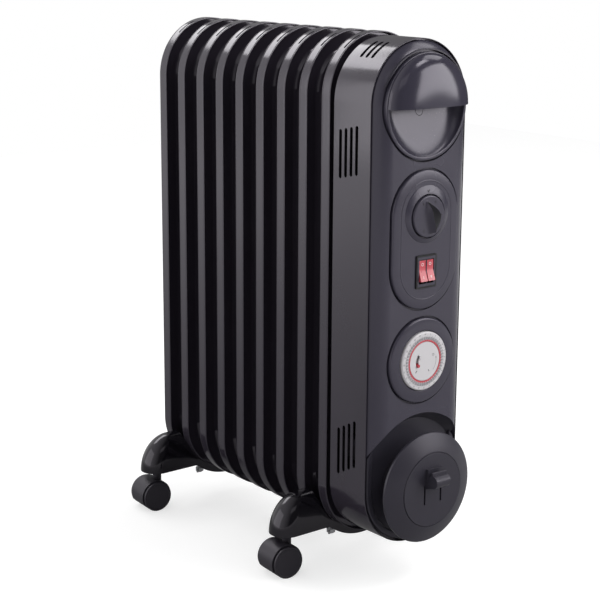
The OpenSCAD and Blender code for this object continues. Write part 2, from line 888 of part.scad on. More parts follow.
wheel(1, foot_front_y, -1);  // wheel_fr_a
wheel(1, foot_front_y, 1);  // wheel_fr_b
wheel(-1, foot_rear_y, -1);  // wheel_rl_a
wheel(-1, foot_rear_y, 1);  // wheel_rl_b
wheel(1, foot_rear_y, -1);  // wheel_rr_a
wheel(1, foot_rear_y, 1);  // wheel_rr_b
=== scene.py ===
# %% [markdown]
# # An oil filled radiator heater
# This script dresses a finished CAD model. The CAD gives every size and every place;
# the script adds smooth mouldings, rolled steel edges, printed marks and finishes.
# It works in metres, with +Z up and the control panel facing -Y.

import json
import math
import bmesh
import bpy
import numpy as np
from mathutils import Matrix, Vector

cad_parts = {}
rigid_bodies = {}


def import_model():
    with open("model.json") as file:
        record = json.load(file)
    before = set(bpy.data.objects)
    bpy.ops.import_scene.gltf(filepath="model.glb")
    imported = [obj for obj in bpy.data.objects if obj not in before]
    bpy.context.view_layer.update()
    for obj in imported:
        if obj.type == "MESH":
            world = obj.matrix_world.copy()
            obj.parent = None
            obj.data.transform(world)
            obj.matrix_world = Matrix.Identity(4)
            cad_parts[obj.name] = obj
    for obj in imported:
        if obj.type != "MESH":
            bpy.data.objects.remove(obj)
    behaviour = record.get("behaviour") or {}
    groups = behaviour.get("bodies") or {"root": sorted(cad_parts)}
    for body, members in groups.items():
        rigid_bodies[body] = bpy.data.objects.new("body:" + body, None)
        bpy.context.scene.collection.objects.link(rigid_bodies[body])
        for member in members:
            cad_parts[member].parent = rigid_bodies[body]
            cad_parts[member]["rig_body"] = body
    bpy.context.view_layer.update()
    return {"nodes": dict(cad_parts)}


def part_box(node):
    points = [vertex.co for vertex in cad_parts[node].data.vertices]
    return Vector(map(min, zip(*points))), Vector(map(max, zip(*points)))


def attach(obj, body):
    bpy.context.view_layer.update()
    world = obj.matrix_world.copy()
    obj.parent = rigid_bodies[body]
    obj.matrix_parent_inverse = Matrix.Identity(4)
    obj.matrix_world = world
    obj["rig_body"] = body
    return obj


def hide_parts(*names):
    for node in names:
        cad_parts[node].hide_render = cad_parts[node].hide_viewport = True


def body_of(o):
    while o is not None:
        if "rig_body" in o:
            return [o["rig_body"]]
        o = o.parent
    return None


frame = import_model()
nodes = frame["nodes"]
scene = bpy.context.scene

# %% [markdown]
# ## Numbers that the whole heater shares
# Drawings of such a heater are dimensioned from the front rim of its housing, so most
# lengths below are millimetres behind or in front of that rim.

# %% Shared measures
MM = 0.001
shell_low, shell_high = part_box("housing_shell")
rim = shell_low.y / MM
body_r = shell_high.x / MM
shell_z = (shell_low.z / MM + body_r, shell_high.z / MM - body_r)
fin_low, fin_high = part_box("fin_9")
fin_z = (fin_low.z / MM + body_r, fin_high.z / MM - body_r)


def centre(node):
    """Middle of a node's box: x, y, z in metres."""
    low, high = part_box(node)
    return (low + high) / 2


def front_of(node):
    """How far a node stands out in front of the rim, in millimetres."""
    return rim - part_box(node)[0].y / MM


handle_z, plate_z, knob_z, switch_z, timer_z, spool_z = (centre(node).z / MM for node in (
    "handle_bowl", "control_plate", "thermostat_knob", "switch_frame", "timer_bezel",
    "spool_disc"))
print("rim", round(rim, 1), "radius", body_r, "timer height", round(timer_z, 1))

# %% [markdown]
# ## Making surfaces from arrays
# Almost every part of this heater is a section carried round a circle or round a racetrack,
# which is two half circles joined by straight sides. Spin and Screw in Blender could do the
# circles, but not the racetrack, so one array formula does both: a racetrack whose two
# centres coincide is a circle.

# %% Objects from grids
def placed(name, data):
    """A new object in the scene for a mesh, a text, a lamp or a camera."""
    item = bpy.data.objects.new(name, data)
    scene.collection.objects.link(item)
    return item


def tidy(mesh, near=2e-6):
    """Merges doubled points and turns every face outwards."""
    work = bmesh.new()
    work.from_mesh(mesh)
    bmesh.ops.remove_doubles(work, verts=work.verts, dist=near)
    bmesh.ops.dissolve_degenerate(work, edges=work.edges, dist=near)
    bmesh.ops.recalc_face_normals(work, faces=work.faces)
    work.to_mesh(mesh)
    work.free()


def add_piece(name, points, faces, material, body=None):
    """Puts points (metres) and faces into a new object, which may ride on a body."""
    mesh = bpy.data.meshes.new(name)
    mesh.from_pydata(np.asarray(points, float).reshape(-1, 3).tolist(), [], faces)
    piece = placed(name, mesh)
    tidy(mesh)
    if material:
        mesh.materials.append(material)
    if body:
        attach(piece, body)
    return piece


def grid_faces(rows, columns, wrap_rows=False, wrap_columns=False):
    """Quads that join each point of a rows x columns grid to its neighbours."""
    index = np.arange(rows * columns).reshape(rows, columns)
    index = np.pad(index, ((0, int(wrap_rows)), (0, int(wrap_columns))), "wrap")
    quads = np.stack([index[:-1, :-1], index[1:, :-1], index[1:, 1:], index[:-1, 1:]], -1)
    return quads.reshape(-1, 4).tolist()


def surface(name, points, material, wrap_rows=False, wrap_columns=False, body="heater"):
    """A grid of points as a piece. A row or column that wraps meets its own start."""
    faces = grid_faces(*points.shape[:2], wrap_rows, wrap_columns)
    return add_piece(name, points, faces, material, body)


def solid(rows, name="cutter", material=None):
    """A closed form: rows of points in millimetres, joined to each other and capped."""
    rows = np.asarray(rows) * MM
    count, n = rows.shape[:2]
    last = (count - 1) * n
    faces = [list(range(n)), list(range(last + n - 1, last - 1, -1))]
    return add_piece(name, rows, faces + grid_faces(count, n, wrap_columns=True), material)


# %% Racetracks, circles and bars
def arc_points(cx, cy, r, start, end, steps):
    """Points along an arc, from start to end degrees."""
    a = np.radians(np.linspace(start, end, steps + 1))
    return list(zip(cx + r * np.cos(a), cy + r * np.sin(a)))


def circle(r, steps, x=0, z=0):
    """Outline of a circle about (x, z)."""
    return arc_points(x, z, r, 0, 360 - 360 / steps, steps - 1)


def full_turn(steps):
    """Angles of one turn, as a column."""
    return np.linspace(0, 2 * math.pi, steps, endpoint=False)[:, None]


def ahead(x, d, z):
    """Points in metres from x, the distance d in front of the rim, and z in millimetres."""
    return np.stack(np.broadcast_arrays(x, rim - d, z), -1) * MM


def racetrack_path(z_low, z_high, arc, side):
    """Angle and centre height along a racetrack: over the top, down, under, and up again."""
    top = np.linspace(0, math.pi, arc + 1)
    down = np.linspace(z_high, z_low, side + 1)[1:-1]
    angle = [top, np.pi + 0 * down, top + np.pi, 2 * np.pi + 0 * down]
    height = [z_high + 0 * top, down, z_low + 0 * top, down[::-1]]
    return np.concatenate(angle)[:, None], np.concatenate(height)[:, None]


def round_piece(name, section, z_low, z_high, material, closed=True, arc=48, side=1,
                slot="charcoal_plastic"):
    """A section carried round a racetrack, or round a circle if z_low is z_high.

    The section is (radius, distance in front of the rim). A point is at
    x = radius * cos(angle), z = centre height + radius * sin(angle)."""
    angle, height = racetrack_path(z_low, z_high, arc, side)
    radius, d = np.asarray(section, float).T
    points = ahead(radius * np.cos(angle), d, height + radius * np.sin(angle))
    return surface(name, points, material, True, closed)


def prism(outline, start, end, axis=1, name="cutter"):
    """A closed bar: an outline in the two other axes, from start to end along axis."""
    outline = np.asarray(outline, float)
    return solid([np.insert(outline, axis, place, axis=1) for place in (start, end)], name)


def rectangle(x, z, half_x, half_z):
    """Outline of an upright rectangle about (x, z)."""
    return [(x - half_x, z - half_z), (x + half_x, z - half_z), (x + half_x, z + half_z),
            (x - half_x, z + half_z)]


def stadium(long, wide, steps=10):
    """Outline of a slot with round ends, centred at 0, lying along the first axis."""
    r = wide / 2
    return (arc_points(long / 2 - r, 0, r, -90, 90, steps)
            + arc_points(r - long / 2, 0, r, 90, 270, steps))


def bent_slot(long, wide, degrees, y, z, side):
    """A slot cutter across the round top: its length is laid along the arc."""
    along, over = np.array(stadium(long, wide)).T
    angle = np.radians(degrees) + along / body_r
    return solid([np.stack([side * r * np.cos(angle), y + over, z + r * np.sin(angle)], -1)
                  for r in (body_r - 6, body_r + 4)])


print("helpers for surfaces ready")

# %% [markdown]
# ## Cutting and softening
# Steel and plastic never have knife edges, and a tiny rounding catches the light in a line
# that tells the eye how the part was made. The Bevel modifier, limited by angle, puts that
# rounding on every real edge and leaves smooth curves alone. Holes are cut with the Boolean
# modifier before the bevel, so their rims are softened too. Both are applied here, because
# a finished mesh is safer to pass on than a stack of live modifiers.

# %% Cutting and softening helpers
def evaluated(item):
    """The mesh that an object shows with its modifiers."""
    bpy.context.view_layer.update()
    graph = bpy.context.evaluated_depsgraph_get()
    return bpy.data.meshes.new_from_object(item.evaluated_get(graph), depsgraph=graph)


def settle(piece):
    """Applies every modifier of a piece."""
    mesh = evaluated(piece)
    piece.modifiers.clear()
    old, piece.data = piece.data, mesh
    mesh.name = piece.name
    bpy.data.meshes.remove(old)


def cut(piece, *cutters, operation="DIFFERENCE"):
    """Takes the cutters away from a piece, or adds or keeps them, and throws them out."""
    for tool in cutters:
        change = piece.modifiers.new("cut", "BOOLEAN")
        change.operation = operation
        change.solver = "EXACT"
        change.object = tool
    settle(piece)
    for tool in cutters:
        bpy.data.objects.remove(tool)


def thicken(piece, wall, offset, even=False):
    """Gives a single surface a wall of that many millimetres."""
    sheet = piece.modifiers.new("wall", "SOLIDIFY")
    sheet.thickness = wall * MM
    sheet.offset = offset
    sheet.use_even_offset = even
    settle(piece)


def soften(piece, width, segments=2, angle=32):
    """Rounds the edges sharper than angle by width millimetres and shades the rest smooth."""
    if width:
        edge = piece.modifiers.new("soft edges", "BEVEL")
        edge.width = width * MM
        edge.segments = segments
        edge.limit_method = "ANGLE"
        edge.angle_limit = math.radians(angle)
        edge.use_clamp_overlap = True
        edge.miter_outer = "MITER_ARC"
        settle(piece)
    piece.data.shade_smooth()
    piece.data.set_sharp_from_angle(angle=math.radians(angle))
    piece.modifiers.new("even shading", "WEIGHTED_NORMAL").keep_sharp = True
    settle(piece)


def softened(node, material, width, segments=2, angle=32):
    """A copy of a CAD node with its triangles merged and its edges rounded, in its place."""
    source = nodes[node]
    mesh = source.data.copy()
    mesh.name = node + "_soft"
    mesh.materials.clear()
    mesh.materials.append(material)
    if mesh.has_custom_normals:
        mesh.attributes.remove(mesh.attributes["custom_normal"])
    piece = placed(node + "_soft", mesh)
    work = bmesh.new()
    work.from_mesh(mesh)
    bmesh.ops.remove_doubles(work, verts=work.verts, dist=5e-6)
    for edge in work.edges:
        edge.smooth = True
    bmesh.ops.dissolve_limit(work, angle_limit=math.radians(0.6), verts=work.verts,
                             edges=work.edges)
    work.to_mesh(mesh)
    work.free()
    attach(piece, body_of(source)[0])
    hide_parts(node)
    soften(piece, width, segments, angle)


def joined(parts):
    """Several separate meshes as one cutter."""
    with bpy.context.temp_override(active_object=parts[0], selected_editable_objects=parts):
        bpy.ops.object.join()
    return parts[0]


print("helpers for cutting and softening ready")

# %% [markdown]
# ## Effects that several finishes share
# A shader node group is a small recipe that several materials can use with their own
# numbers. Moulded plastic has a fine spark-eroded grain. Sprayed and baked enamel has a very
# shallow orange peel. Everything that has been handled carries faint smudges that change its
# gloss. Each group only puts out a height or a mask, and the Principled shader stays in the
# material, so that the finish survives an export.

# %% Node helpers
def fill(tree, node, terms):
    """Gives each named socket of a node its term: a number, a colour or another socket."""
    for label, term in terms.items():
        if isinstance(term, bpy.types.NodeSocket):
            tree.links.new(term, node.inputs[label])
        else:
            node.inputs[label].default_value = term
    return node


def noise(tree, place, scale, detail, rough=0.5):
    """A noise texture read at place."""
    return fill(tree, tree.nodes.new("ShaderNodeTexNoise"), {
        "Vector": place, "Scale": scale, "Detail": detail, "Roughness": rough}).outputs["Fac"]


def calculated(tree, first, second, operation="ADD"):
    """A math node; each term is a socket or a number."""
    node = tree.nodes.new("ShaderNodeMath")
    node.operation = operation
    return fill(tree, node, {0: first, 1: second}).outputs[0]


def spread(tree, value, low, high, out_low, out_high):
    """Maps a value from one range to another and clamps it."""
    return fill(tree, tree.nodes.new("ShaderNodeMapRange"), {
        "Value": value, "From Min": low, "From Max": high, "To Min": out_low,
        "To Max": out_high}).outputs["Result"]


# %% Moulded grain, orange peel and smudges
def moulded_grain(tree, place, scale):
    """Height of a spark-eroded mould: fine noise with pits from small cells."""
    cells = fill(tree, tree.nodes.new("ShaderNodeTexVoronoi"), {"Vector": place, "Scale": scale})
    return calculated(tree, noise(tree, place, scale, 3.0, 0.6), cells.outputs["Distance"])


def orange_peel(tree, place, scale):
    """Height of baked enamel: two soft waves, the finer one weaker."""
    finer = noise(tree, place, calculated(tree, scale, 2.7, "MULTIPLY"), 1.0)
    weak = calculated(tree, finer, 0.35, "MULTIPLY")
    return calculated(tree, noise(tree, place, scale, 0.0), weak)


def smudges(tree, place, scale):
    """Mask from 0 to 1: slow cloudy patches, with fine specks of dust inside them."""
    clouds = noise(tree, place, scale, 3.0)
    specks = noise(tree, place, calculated(tree, scale, 70.0, "MULTIPLY"), 2.0, 0.6)
    return calculated(tree, spread(tree, clouds, 0.42, 0.66, 0.0, 0.8),
                      spread(tree, specks, 0.66, 0.76, 0.0, 0.35))


def make_group(recipe, scale, output):
    """A node group with a Scale input and one output, which the recipe works out."""
    tree = bpy.data.node_groups.new(recipe.__name__, "ShaderNodeTree")
    tree.interface.new_socket("Scale", in_out="INPUT",
                              socket_type="NodeSocketFloat").default_value = scale
    tree.interface.new_socket(output, in_out="OUTPUT", socket_type="NodeSocketFloat")
    place = tree.nodes.new("ShaderNodeTexCoord").outputs["Object"]
    given = tree.nodes.new("NodeGroupInput").outputs["Scale"]
    fill(tree, tree.nodes.new("NodeGroupOutput"), {output: recipe(tree, place, given)})
    return tree


groups = {"grain": make_group(moulded_grain, 2200.0, "Height"),
          "peel": make_group(orange_peel, 260.0, "Height"),
          "smudges": make_group(smudges, 9.0, "Mask")}
print("node groups:", sorted(groups))

# %% [markdown]
# ## The finishes
# The fins and the housing skin are steel with black baked enamel. The front mouldings are
# charcoal plastic with a soft sheen, glossier on the handle. The feet are gloss black plastic
# and the casters satin black. One function builds them all from a Principled shader, a
# colour that drifts a little, a gloss that the smudges break, and a bump. A faint plum tint
# on the reflection stands for the pigment in the blacks.

# %% Build a finish
def effect(tree, name, scale):
    """One of the shared groups, placed in a material at its own scale."""
    node = tree.nodes.new("ShaderNodeGroup")
    node.node_tree = groups[name]
    return fill(tree, node, {"Scale": scale}).outputs[0]


def finish(name, colour, rough, relief=20, bump="grain", bump_scale=2200.0, second=None,
           smudge_rough=0.08, smudge_scale=9.0, metal=0.0, coat=0.0, specular=0.5,
           tint=(1.0, 1.0, 1.0)):
    """A material: colour drifts to second where the smudge mask is high, and gloss drops.

    The relief is the height of the bump in thousandths of a millimetre."""
    material = bpy.data.materials.new(name)
    material.use_nodes = True
    tree = material.node_tree
    mask = effect(tree, "smudges", smudge_scale)
    mix = tree.nodes.new("ShaderNodeMix")
    mix.data_type = "RGBA"
    fill(tree, mix, {"Factor": mask, "A": (*colour, 1),
                     "B": (*(second or [c * 1.12 for c in colour]), 1)})
    shader = fill(tree, tree.nodes["Principled BSDF"], {
        "Base Color": mix.outputs["Result"],
        "Roughness": spread(tree, mask, 0, 1, rough, rough + smudge_rough),
        "Metallic": metal, "Coat Weight": coat, "Coat Roughness": 0.05,
        "Specular IOR Level": specular, "Specular Tint": (*tint, 1)})
    if bump:
        dent = fill(tree, tree.nodes.new("ShaderNodeBump"), {
            "Strength": 1.0, "Distance": relief * 0.000001,
            "Height": effect(tree, bump, bump_scale)})
        fill(tree, shader, {"Normal": dent.outputs["Normal"]})
    return material


# %% The heater's finishes
plum = (0.96, 0.91, 1.0)
enamel = finish("black_enamel", (0.027, 0.023, 0.032), 0.12, 20, "peel", 260.0,
                smudge_rough=0.06, specular=0.7, tint=plum)
charcoal = finish("charcoal_moulding", (0.037, 0.034, 0.050), 0.23, 5, tint=plum)
charcoal_gloss = finish("charcoal_handle", (0.038, 0.035, 0.051), 0.14, 4, tint=plum,
                        smudge_rough=0.05)
charcoal_dark = finish("charcoal_satin", (0.029, 0.027, 0.037), 0.34, 8, specular=0.38,
                       tint=plum)
# Darker charcoal for the knob's right facet: painted shade, for the dark the facet shows as it
# falls away from the light.
knob_facet_painted_shade = finish("charcoal_painted_shade", (0.007, 0.0065, 0.009), 0.45, 8, specular=0.15)
gloss_black = finish("gloss_black_moulding", (0.006, 0.0055, 0.0075), 0.09, 20, "peel", 120.0,
                     smudge_rough=0.06, tint=plum)
satin_black = finish("satin_black_nylon", (0.021, 0.019, 0.025), 0.45, 30, tint=plum)
deep_black = finish("shadow_black", (0.004, 0.004, 0.0045), 0.6)
white_gloss = finish("white_moulding", (0.62, 0.6, 0.62), 0.3, 8, second=(0.56, 0.54, 0.56))
light_grey = finish("light_grey_moulding", (0.36, 0.355, 0.375), 0.4, 10)
red_gloss = finish("red_rocker", (0.48, 0.035, 0.055), 0.25, 8, second=(0.56, 0.06, 0.085),
                   smudge_scale=60.0, coat=0.3)
ink = {"bump": None, "smudge_scale": 80.0}
red_print = finish("red_print", (0.55, 0.07, 0.09), 0.45, **ink)
white_print = finish("white_print", (0.78, 0.76, 0.76), 0.5, **ink)
grey_print = finish("grey_print", (0.11, 0.11, 0.12), 0.5, **ink)
zinc = finish("zinc_plate", (0.52, 0.52, 0.54), 0.3, bump_scale=900.0, metal=1.0)
dull_steel = finish("oxidised_steel", (0.3, 0.29, 0.28), 0.5, bump_scale=700.0, metal=1.0)
brass = finish("plain_brass", (0.6, 0.44, 0.2), 0.35, bump_scale=700.0, metal=1.0)
sleeving = finish("brown_sleeving", (0.16, 0.05, 0.035), 0.8, 100, bump_scale=1500.0)

for material, plain_nodes in (
        (enamel, "header_top header_bottom"), (deep_black, "housing_back"),
        (dull_steel, "heating_element thermal_cutout"), (brass, "element_plug"),
        (zinc, "filler_plug cover_screws ubolt_front ubolt_rear"),
        (satin_black, "cord_gland thermostat_body switch_body timer_body tip_switch"),
        # The terminal block gets the dark satin charcoal as painted shade, so the inside seen
        # through the louvres reads dark.
        (charcoal_dark, "terminal_block"), (sleeving, "wiring_loom")):
    for node in plain_nodes.split():
        for material_slot in nodes[node].material_slots:
            material_slot.material = material
print("finishes:", len(bpy.data.materials))

# %% [markdown]
# ## The fins
# Each fin is two pressed steel sheets, welded together. A deep flange runs round it with a
# thin rolled bead on both edges, and the oil runs in three raised channels between a round
# chamber at the top and one at the bottom. The pressing is a height that depends only on
# where a point lies on the sheet, so it is computed as a formula on the grid. That gives
# smooth swages that a boolean of boxes can't. One mesh is made and then copied nine times.

# %% Fin surface
sheet, swage, boss_rise = 0.5, 3.5, 2.0
channels = (-36.0, 0.0, 36.0)


def smooth_step(value, low, high):
    """Rises from 0 at low to 1 at high with no corner."""
    t = np.clip((value - low) / (high - low), 0, 1)
    return t * t * (3 - 2 * t)


def pressed_height(x, z):
    """Half thickness of a fin at (x, z), in mm: sheet, channels, chambers, then bosses.

    Each form is the sheet plus a smooth step of the distance to its centre line,
    and the forms are joined by taking the greater."""
    low, high = fin_z
    height = np.full_like(x, sheet)
    for middle in channels:
        channel = swage * (1 - smooth_step(np.abs(x - middle), 7.5, 12.5))
        height = np.maximum(height, sheet + channel)
    for middle in (low, high):
        distance = np.hypot(x, z - middle)
        height = np.maximum(height, sheet + swage * (1 - smooth_step(distance, 47.5, 53)))
        height = height + boss_rise * (1 - smooth_step(distance, 29.5, 32.5))
    beyond = (z > high) | (z < low)
    chamber = np.minimum(np.hypot(x, z - low), np.hypot(x, z - high))
    limit = sheet + (swage + boss_rise) * (1 - smooth_step(chamber, 47.5, 53))
    return np.where(beyond, np.minimum(height, limit), height)


def fin_points():
    """Grid of one fin about y = 0: out over the front web, round the flange, back over the rear.

    The flange's outer face is flat between two fine grooves and two rolled beads."""
    web = np.concatenate([np.linspace(0, 26, 8), np.linspace(28, 34, 5), np.linspace(37, 45, 4),
                          np.linspace(47, 54, 6), np.linspace(58, 67.6, 3)])
    half = [(68.8, -1.6), (68.8, -6.2), (68.75, -6.9), (69.1, -7.2), (69.6, -7.2),
            (69.95, -6.95), (70.0, -6.55), (69.9, -6.2), (69.7, -5.95), (69.72, -5.7),
            (69.9, -5.55), (69.98, -5.3), (70.0, -5.0), (70.0, -3.5)]
    flange = np.array(half + [(70.0, 0.0)] + [(r, -y) for r, y in half[::-1]])
    radius = np.concatenate([web, flange[:, 0], web[::-1]])
    angle, height = racetrack_path(*fin_z, arc=72, side=2)
    x, z = radius * np.cos(angle), height + radius * np.sin(angle)
    y = pressed_height(x, z)
    n = len(web)
    y[:, :n] *= -1
    y[:, n:-n] = flange[:, 1]
    return np.stack([x, y, z], -1) * MM


pattern = surface("fin_pattern", fin_points(), enamel, True, body=None)
cut(pattern, *(bent_slot(27, 2.7, 120.5, -1.9, fin_z[1], side) for side in (-1, 1)))
soften(pattern, 0.25, 2, 40)
for k in range(1, 10):
    mesh = pattern.data.copy()
    mesh.transform(Matrix.Translation((0, centre(f"fin_{k}").y, 0)))
    mesh.name = f"fin_{k}_pressed"
    fin = placed(mesh.name, mesh)
    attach(fin, "heater")
    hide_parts(f"fin_{k}")
bpy.data.objects.remove(pattern)
print("triangles in one fin:", sum(len(p.vertices) - 2 for p in mesh.polygons))

# %% [markdown]
# ## The housing skin
# The skin is a wrapped steel band, open at the front for the moulding and folded in at the
# back. Its section is drawn once, closed, and carried round the racetrack, which gives a
# watertight ring. The louvres are then cut: four upright slots high and low on each side,
# stepping up towards the front, and three across each shoulder.

# %% Housing shell
shell_section = [(68.85, 0.5), (69.1, 0.1), (69.4, 0.0), (69.7, 0.08), (69.9, 0.35), (70, 0.8),
                 (70, 60.2), (69.85, 60.75), (69.4, 61), (60.5, 61), (60.1, 60.6), (60.1, 59),
                 (60.5, 58.6), (68.8, 58.6), (68.8, 8.4), (62, 8.4), (61.6, 8), (61.6, 6.4),
                 (62, 6), (68.8, 6)]
shell = round_piece("housing_skin", [(r, -behind) for r, behind in shell_section], *shell_z,
                    enamel, arc=72, side=4, slot="enamelled_steel")
louvres = []
for hand, ends in ((-1, (-74, -64)), (1, (64, 74))):
    for i in range(4):
        y = rim + 22.3 + 9 * i
        for start, length, place in ((477 - 2 * i, 54, y), (145 - 4.7 * i, 55, y - 3)):
            outline = [(place + w, start + length / 2 + l) for l, w in stadium(length, 4.7)]
            louvres.append(prism(outline, *ends, axis=0))
    for i in range(3):
        louvres.append(bent_slot(29.5, 4.6, 123.5, rim + 23.1 + 9.1 * i, shell_z[1], hand))
cut(shell, joined(louvres))
soften(shell, 0.35, 2, 40)
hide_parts("housing_shell")
print("shell points:", len(shell.data.vertices))

# %% [markdown]
# ## The front moulding
# The cover is one large injection moulding. Its section is flat in the middle and rolls back
# to the rim in an arc, so light runs down it in one soft band. The pocket for the cord spool
# bites its lower end off with a cone, and three openings take the handle, the switch plate
# and the timer.

# %% Front cover
cover_front, roll_r, flat_r = 12.0, 24.0, 46.0
plate_half, plate_opening = 29.5, 50.5
pocket_r, pocket_slope = 77.5, (84 - 77.5) / 18


def crown(inset=0.0, steps=24):
    """Section of the cover as (radius, distance ahead): a flat, then an arc of radius 24."""
    bend, edge = roll_r - inset, 67.6 - inset
    a = np.linspace(0, math.asin((edge - flat_r) / bend), steps)
    curve = zip(flat_r + bend * np.sin(a), cover_front - roll_r + bend * np.cos(a))
    return [(0, cover_front - inset), (30, cover_front - inset), *curve, (edge, -6.0)]


cover = round_piece("front_moulding", crown() + crown(2.4)[::-1], 150, shell_z[1], charcoal,
                    closed=False, arc=72, side=6)
pocket = solid([np.insert(circle(r, 160, z=spool_z), 1, y, axis=1) for r, y in (
    (pocket_r, rim + 6), (pocket_r + pocket_slope * 26, rim - 20))])
tail = prism(circle(80.2, 160, z=spool_z), rim + 8, rim + 3.6)
plate_outline = (arc_points(0, plate_z + plate_half, plate_opening, 0, 180, 64)
                 + arc_points(0, plate_z - plate_half, plate_opening, 180, 360, 64))
openings = [prism(outline, rim - 30, rim + 8) for outline in (
    circle(60.6, 128, z=handle_z), circle(51, 128, z=timer_z), plate_outline)]
cut(cover, pocket, tail, joined(openings))
soften(cover, 0.7, 3, 32)
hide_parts("front_cover")
print("cover points:", len(cover.data.vertices))

# %% The wall of the spool pocket
def pocket_wall(across=72, deep=12):
    """Wall of the pocket: radius grows with distance ahead, and each line up the wall ends
    under the cover's own skin, whose height is the crown's height at that x. The foot sweeps
    in by 4 mm where it meets the floor."""
    swing = np.linspace(-1, 1, across)[:, None] * math.asin(66.8 / 80.0)
    t = np.linspace(0, 1, deep)
    top = np.interp(np.abs(82 * np.sin(swing)), *np.array(crown(1.2)).T)
    d = -3.6 + (top + 3.6) * t
    r = pocket_r + pocket_slope * (6 + d) - 4.2 * (1 - t) ** 1.5
    return ahead(r * np.sin(swing), d, spool_z + r * np.cos(swing))


wall = surface("pocket_wall", pocket_wall(), charcoal_dark)
thicken(wall, 2.2, 1.0)
soften(wall, 0)
print("pocket wall points:", len(wall.data.vertices))

# %% [markdown]
# ## The carrying handle
# The handle is a round bowl with half a dome over its upper side, and fingers go up behind
# the dome. A lathe could turn the bowl, but its floor ramps forward below the middle, so its
# depth is a formula of (x, z). The dome isn't a part of a sphere: it is nearly flat in front
# and falls steeply at its edge, which the power 3.2 in its formula gives. The fine ring in
# the floor is a disc with a smaller disc taken out of it, cut into the bowl.

# %% Handle bowl
ring_front, fillet_start, fillet_r = 12.9, 38, 16.6


def bowl_depth(x, z):
    """Distance ahead of the rim at (x, z) from the bowl's centre, in millimetres.

    The floor is level at the top and ramps forward below the middle. From r = 38 outwards a
    quarter ellipse lifts it to the ring: floor + (12.9 - floor) * (1 - sqrt(1 - s ** 2))."""
    below = np.clip(8 - z, 0, None)
    floor = -2 + 0.2 * below ** 2 / (below + 10)
    s = np.clip((np.hypot(x, z) - fillet_start) / fillet_r, 0, 0.985)
    return floor + (ring_front - floor) * (1 - np.sqrt(1 - s * s))


def bowl_points():
    """Rows of the bowl's grid: floor and fillet ahead, the ring, then the same behind."""
    bend = np.sin(np.linspace(0.1, math.asin(0.985), 20))
    front_r = np.concatenate([np.linspace(0, fillet_start, 12), fillet_start + fillet_r * bend])
    ring = np.array([(54.9, 12.75), (55.6, 12.98), (56.2, 13), (57.5, 13), (58.2, 12.7),
                     (58.5, 12.1), (58.6, 11.4), (58.6, 6), (60.3, 6), (60.3, 0), (54, 0)])
    radius = np.concatenate([front_r, ring[:, 0], np.linspace(52, 0, 22)])
    angle = full_turn(144)
    x, z = radius * np.cos(angle), radius * np.sin(angle)
    d = bowl_depth(x, z)
    middle = slice(len(front_r), len(front_r) + len(ring))
    d[:, middle] = ring[:, 1]
    d[:, middle.stop:] -= 2.6
    return ahead(x, d, handle_z + z)


bowl = surface("handle_bowl_soft", bowl_points(), charcoal, True)
seam = prism(circle(5.5, 40, z=handle_z - 5.5), rim - 1, rim + 1.75)
cut(seam, prism(circle(5.0, 40, z=handle_z - 5.5), rim - 2, rim + 3))
cut(bowl, seam)
soften(bowl, 0.2, 2, 40)
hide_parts("handle_bowl")

# %% Collar and hood
def collar_points():
    """Ring of four corners round the bowl, whose front follows the crown of the cover."""
    a = full_turn(120)
    r, at_front = np.array([(60.7, 1), (62.1, 1), (62.1, 0), (60.7, 0)]).T
    top = np.interp(np.abs(61.4 * np.cos(a)), *np.array(crown(1.4)).T)
    return ahead(r * np.cos(a), top * at_front, handle_z + r * np.sin(a))


def hood_points(r=57.5, rise=16.5, base=13.0):
    """Upper half of a flattened dome: rise * sqrt(1 - s ** 3.2), with s = radius / r."""
    s = np.sin(np.linspace(0, math.pi / 2, 40))[:, None]
    a = np.linspace(0, math.pi, 73)
    d = base + rise * np.sqrt(np.clip(1 - s ** 3.2, 0, 1))
    return ahead(r * s * np.cos(a), d, handle_z + r * s * np.sin(a))


soften(surface("handle_collar", collar_points(), charcoal_dark, True, True), 0)
hood = surface("handle_hood_soft", hood_points(), charcoal_gloss)
thicken(hood, 2.4, -1.0, even=True)
tidy(hood.data)
soften(hood, 0.6, 3, 50)
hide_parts("handle_hood")
softened("handle_screw", charcoal_dark, 0.2)
print("hood faces:", len(hood.data.polygons))

# %% [markdown]
# ## The control plate and its knob
# The plate is the CAD's own form with its edges rounded, and a fine bead runs round it. The
# knob stands on a low raised base, an eccentric hill worked out between two circles. The
# knob's face is one height field: a ridge runs from a fine tip at eleven o'clock down to the
# heel, with a steep filleted flank on its left and a broad facet falling away to a bulging
# edge on its right. A height that is a formula of (along, across) can change from fillet to
# facet smoothly.

# %% Control plate, its bead and the knob's base
softened("control_plate", charcoal, 0.3, 3)
plate_d = front_of("control_plate")
bead_section = [(r, plate_d + rise) for r, rise in (
    (36.1, -0.3), (36.4, 0.15), (36.8, 0.28), (37.2, 0.28), (37.6, 0.12), (37.9, -0.4))]
bead = round_piece("plate_bead", bead_section, plate_z - plate_half, plate_z + plate_half,
                   charcoal, side=2)
soften(bead, 0)
base_lift, base_outer, base_inner, base_edge = 2.2, 31.9, 24.9, 33.2


def base_depth(t):
    """Distance ahead of the rim on the knob's base: a small step, then a rise of 1.9 mm."""
    t = np.clip(t, 0, 1)
    return plate_d + 0.35 + 1.9 * (1.25 * t - 0.25 * t ** 3)


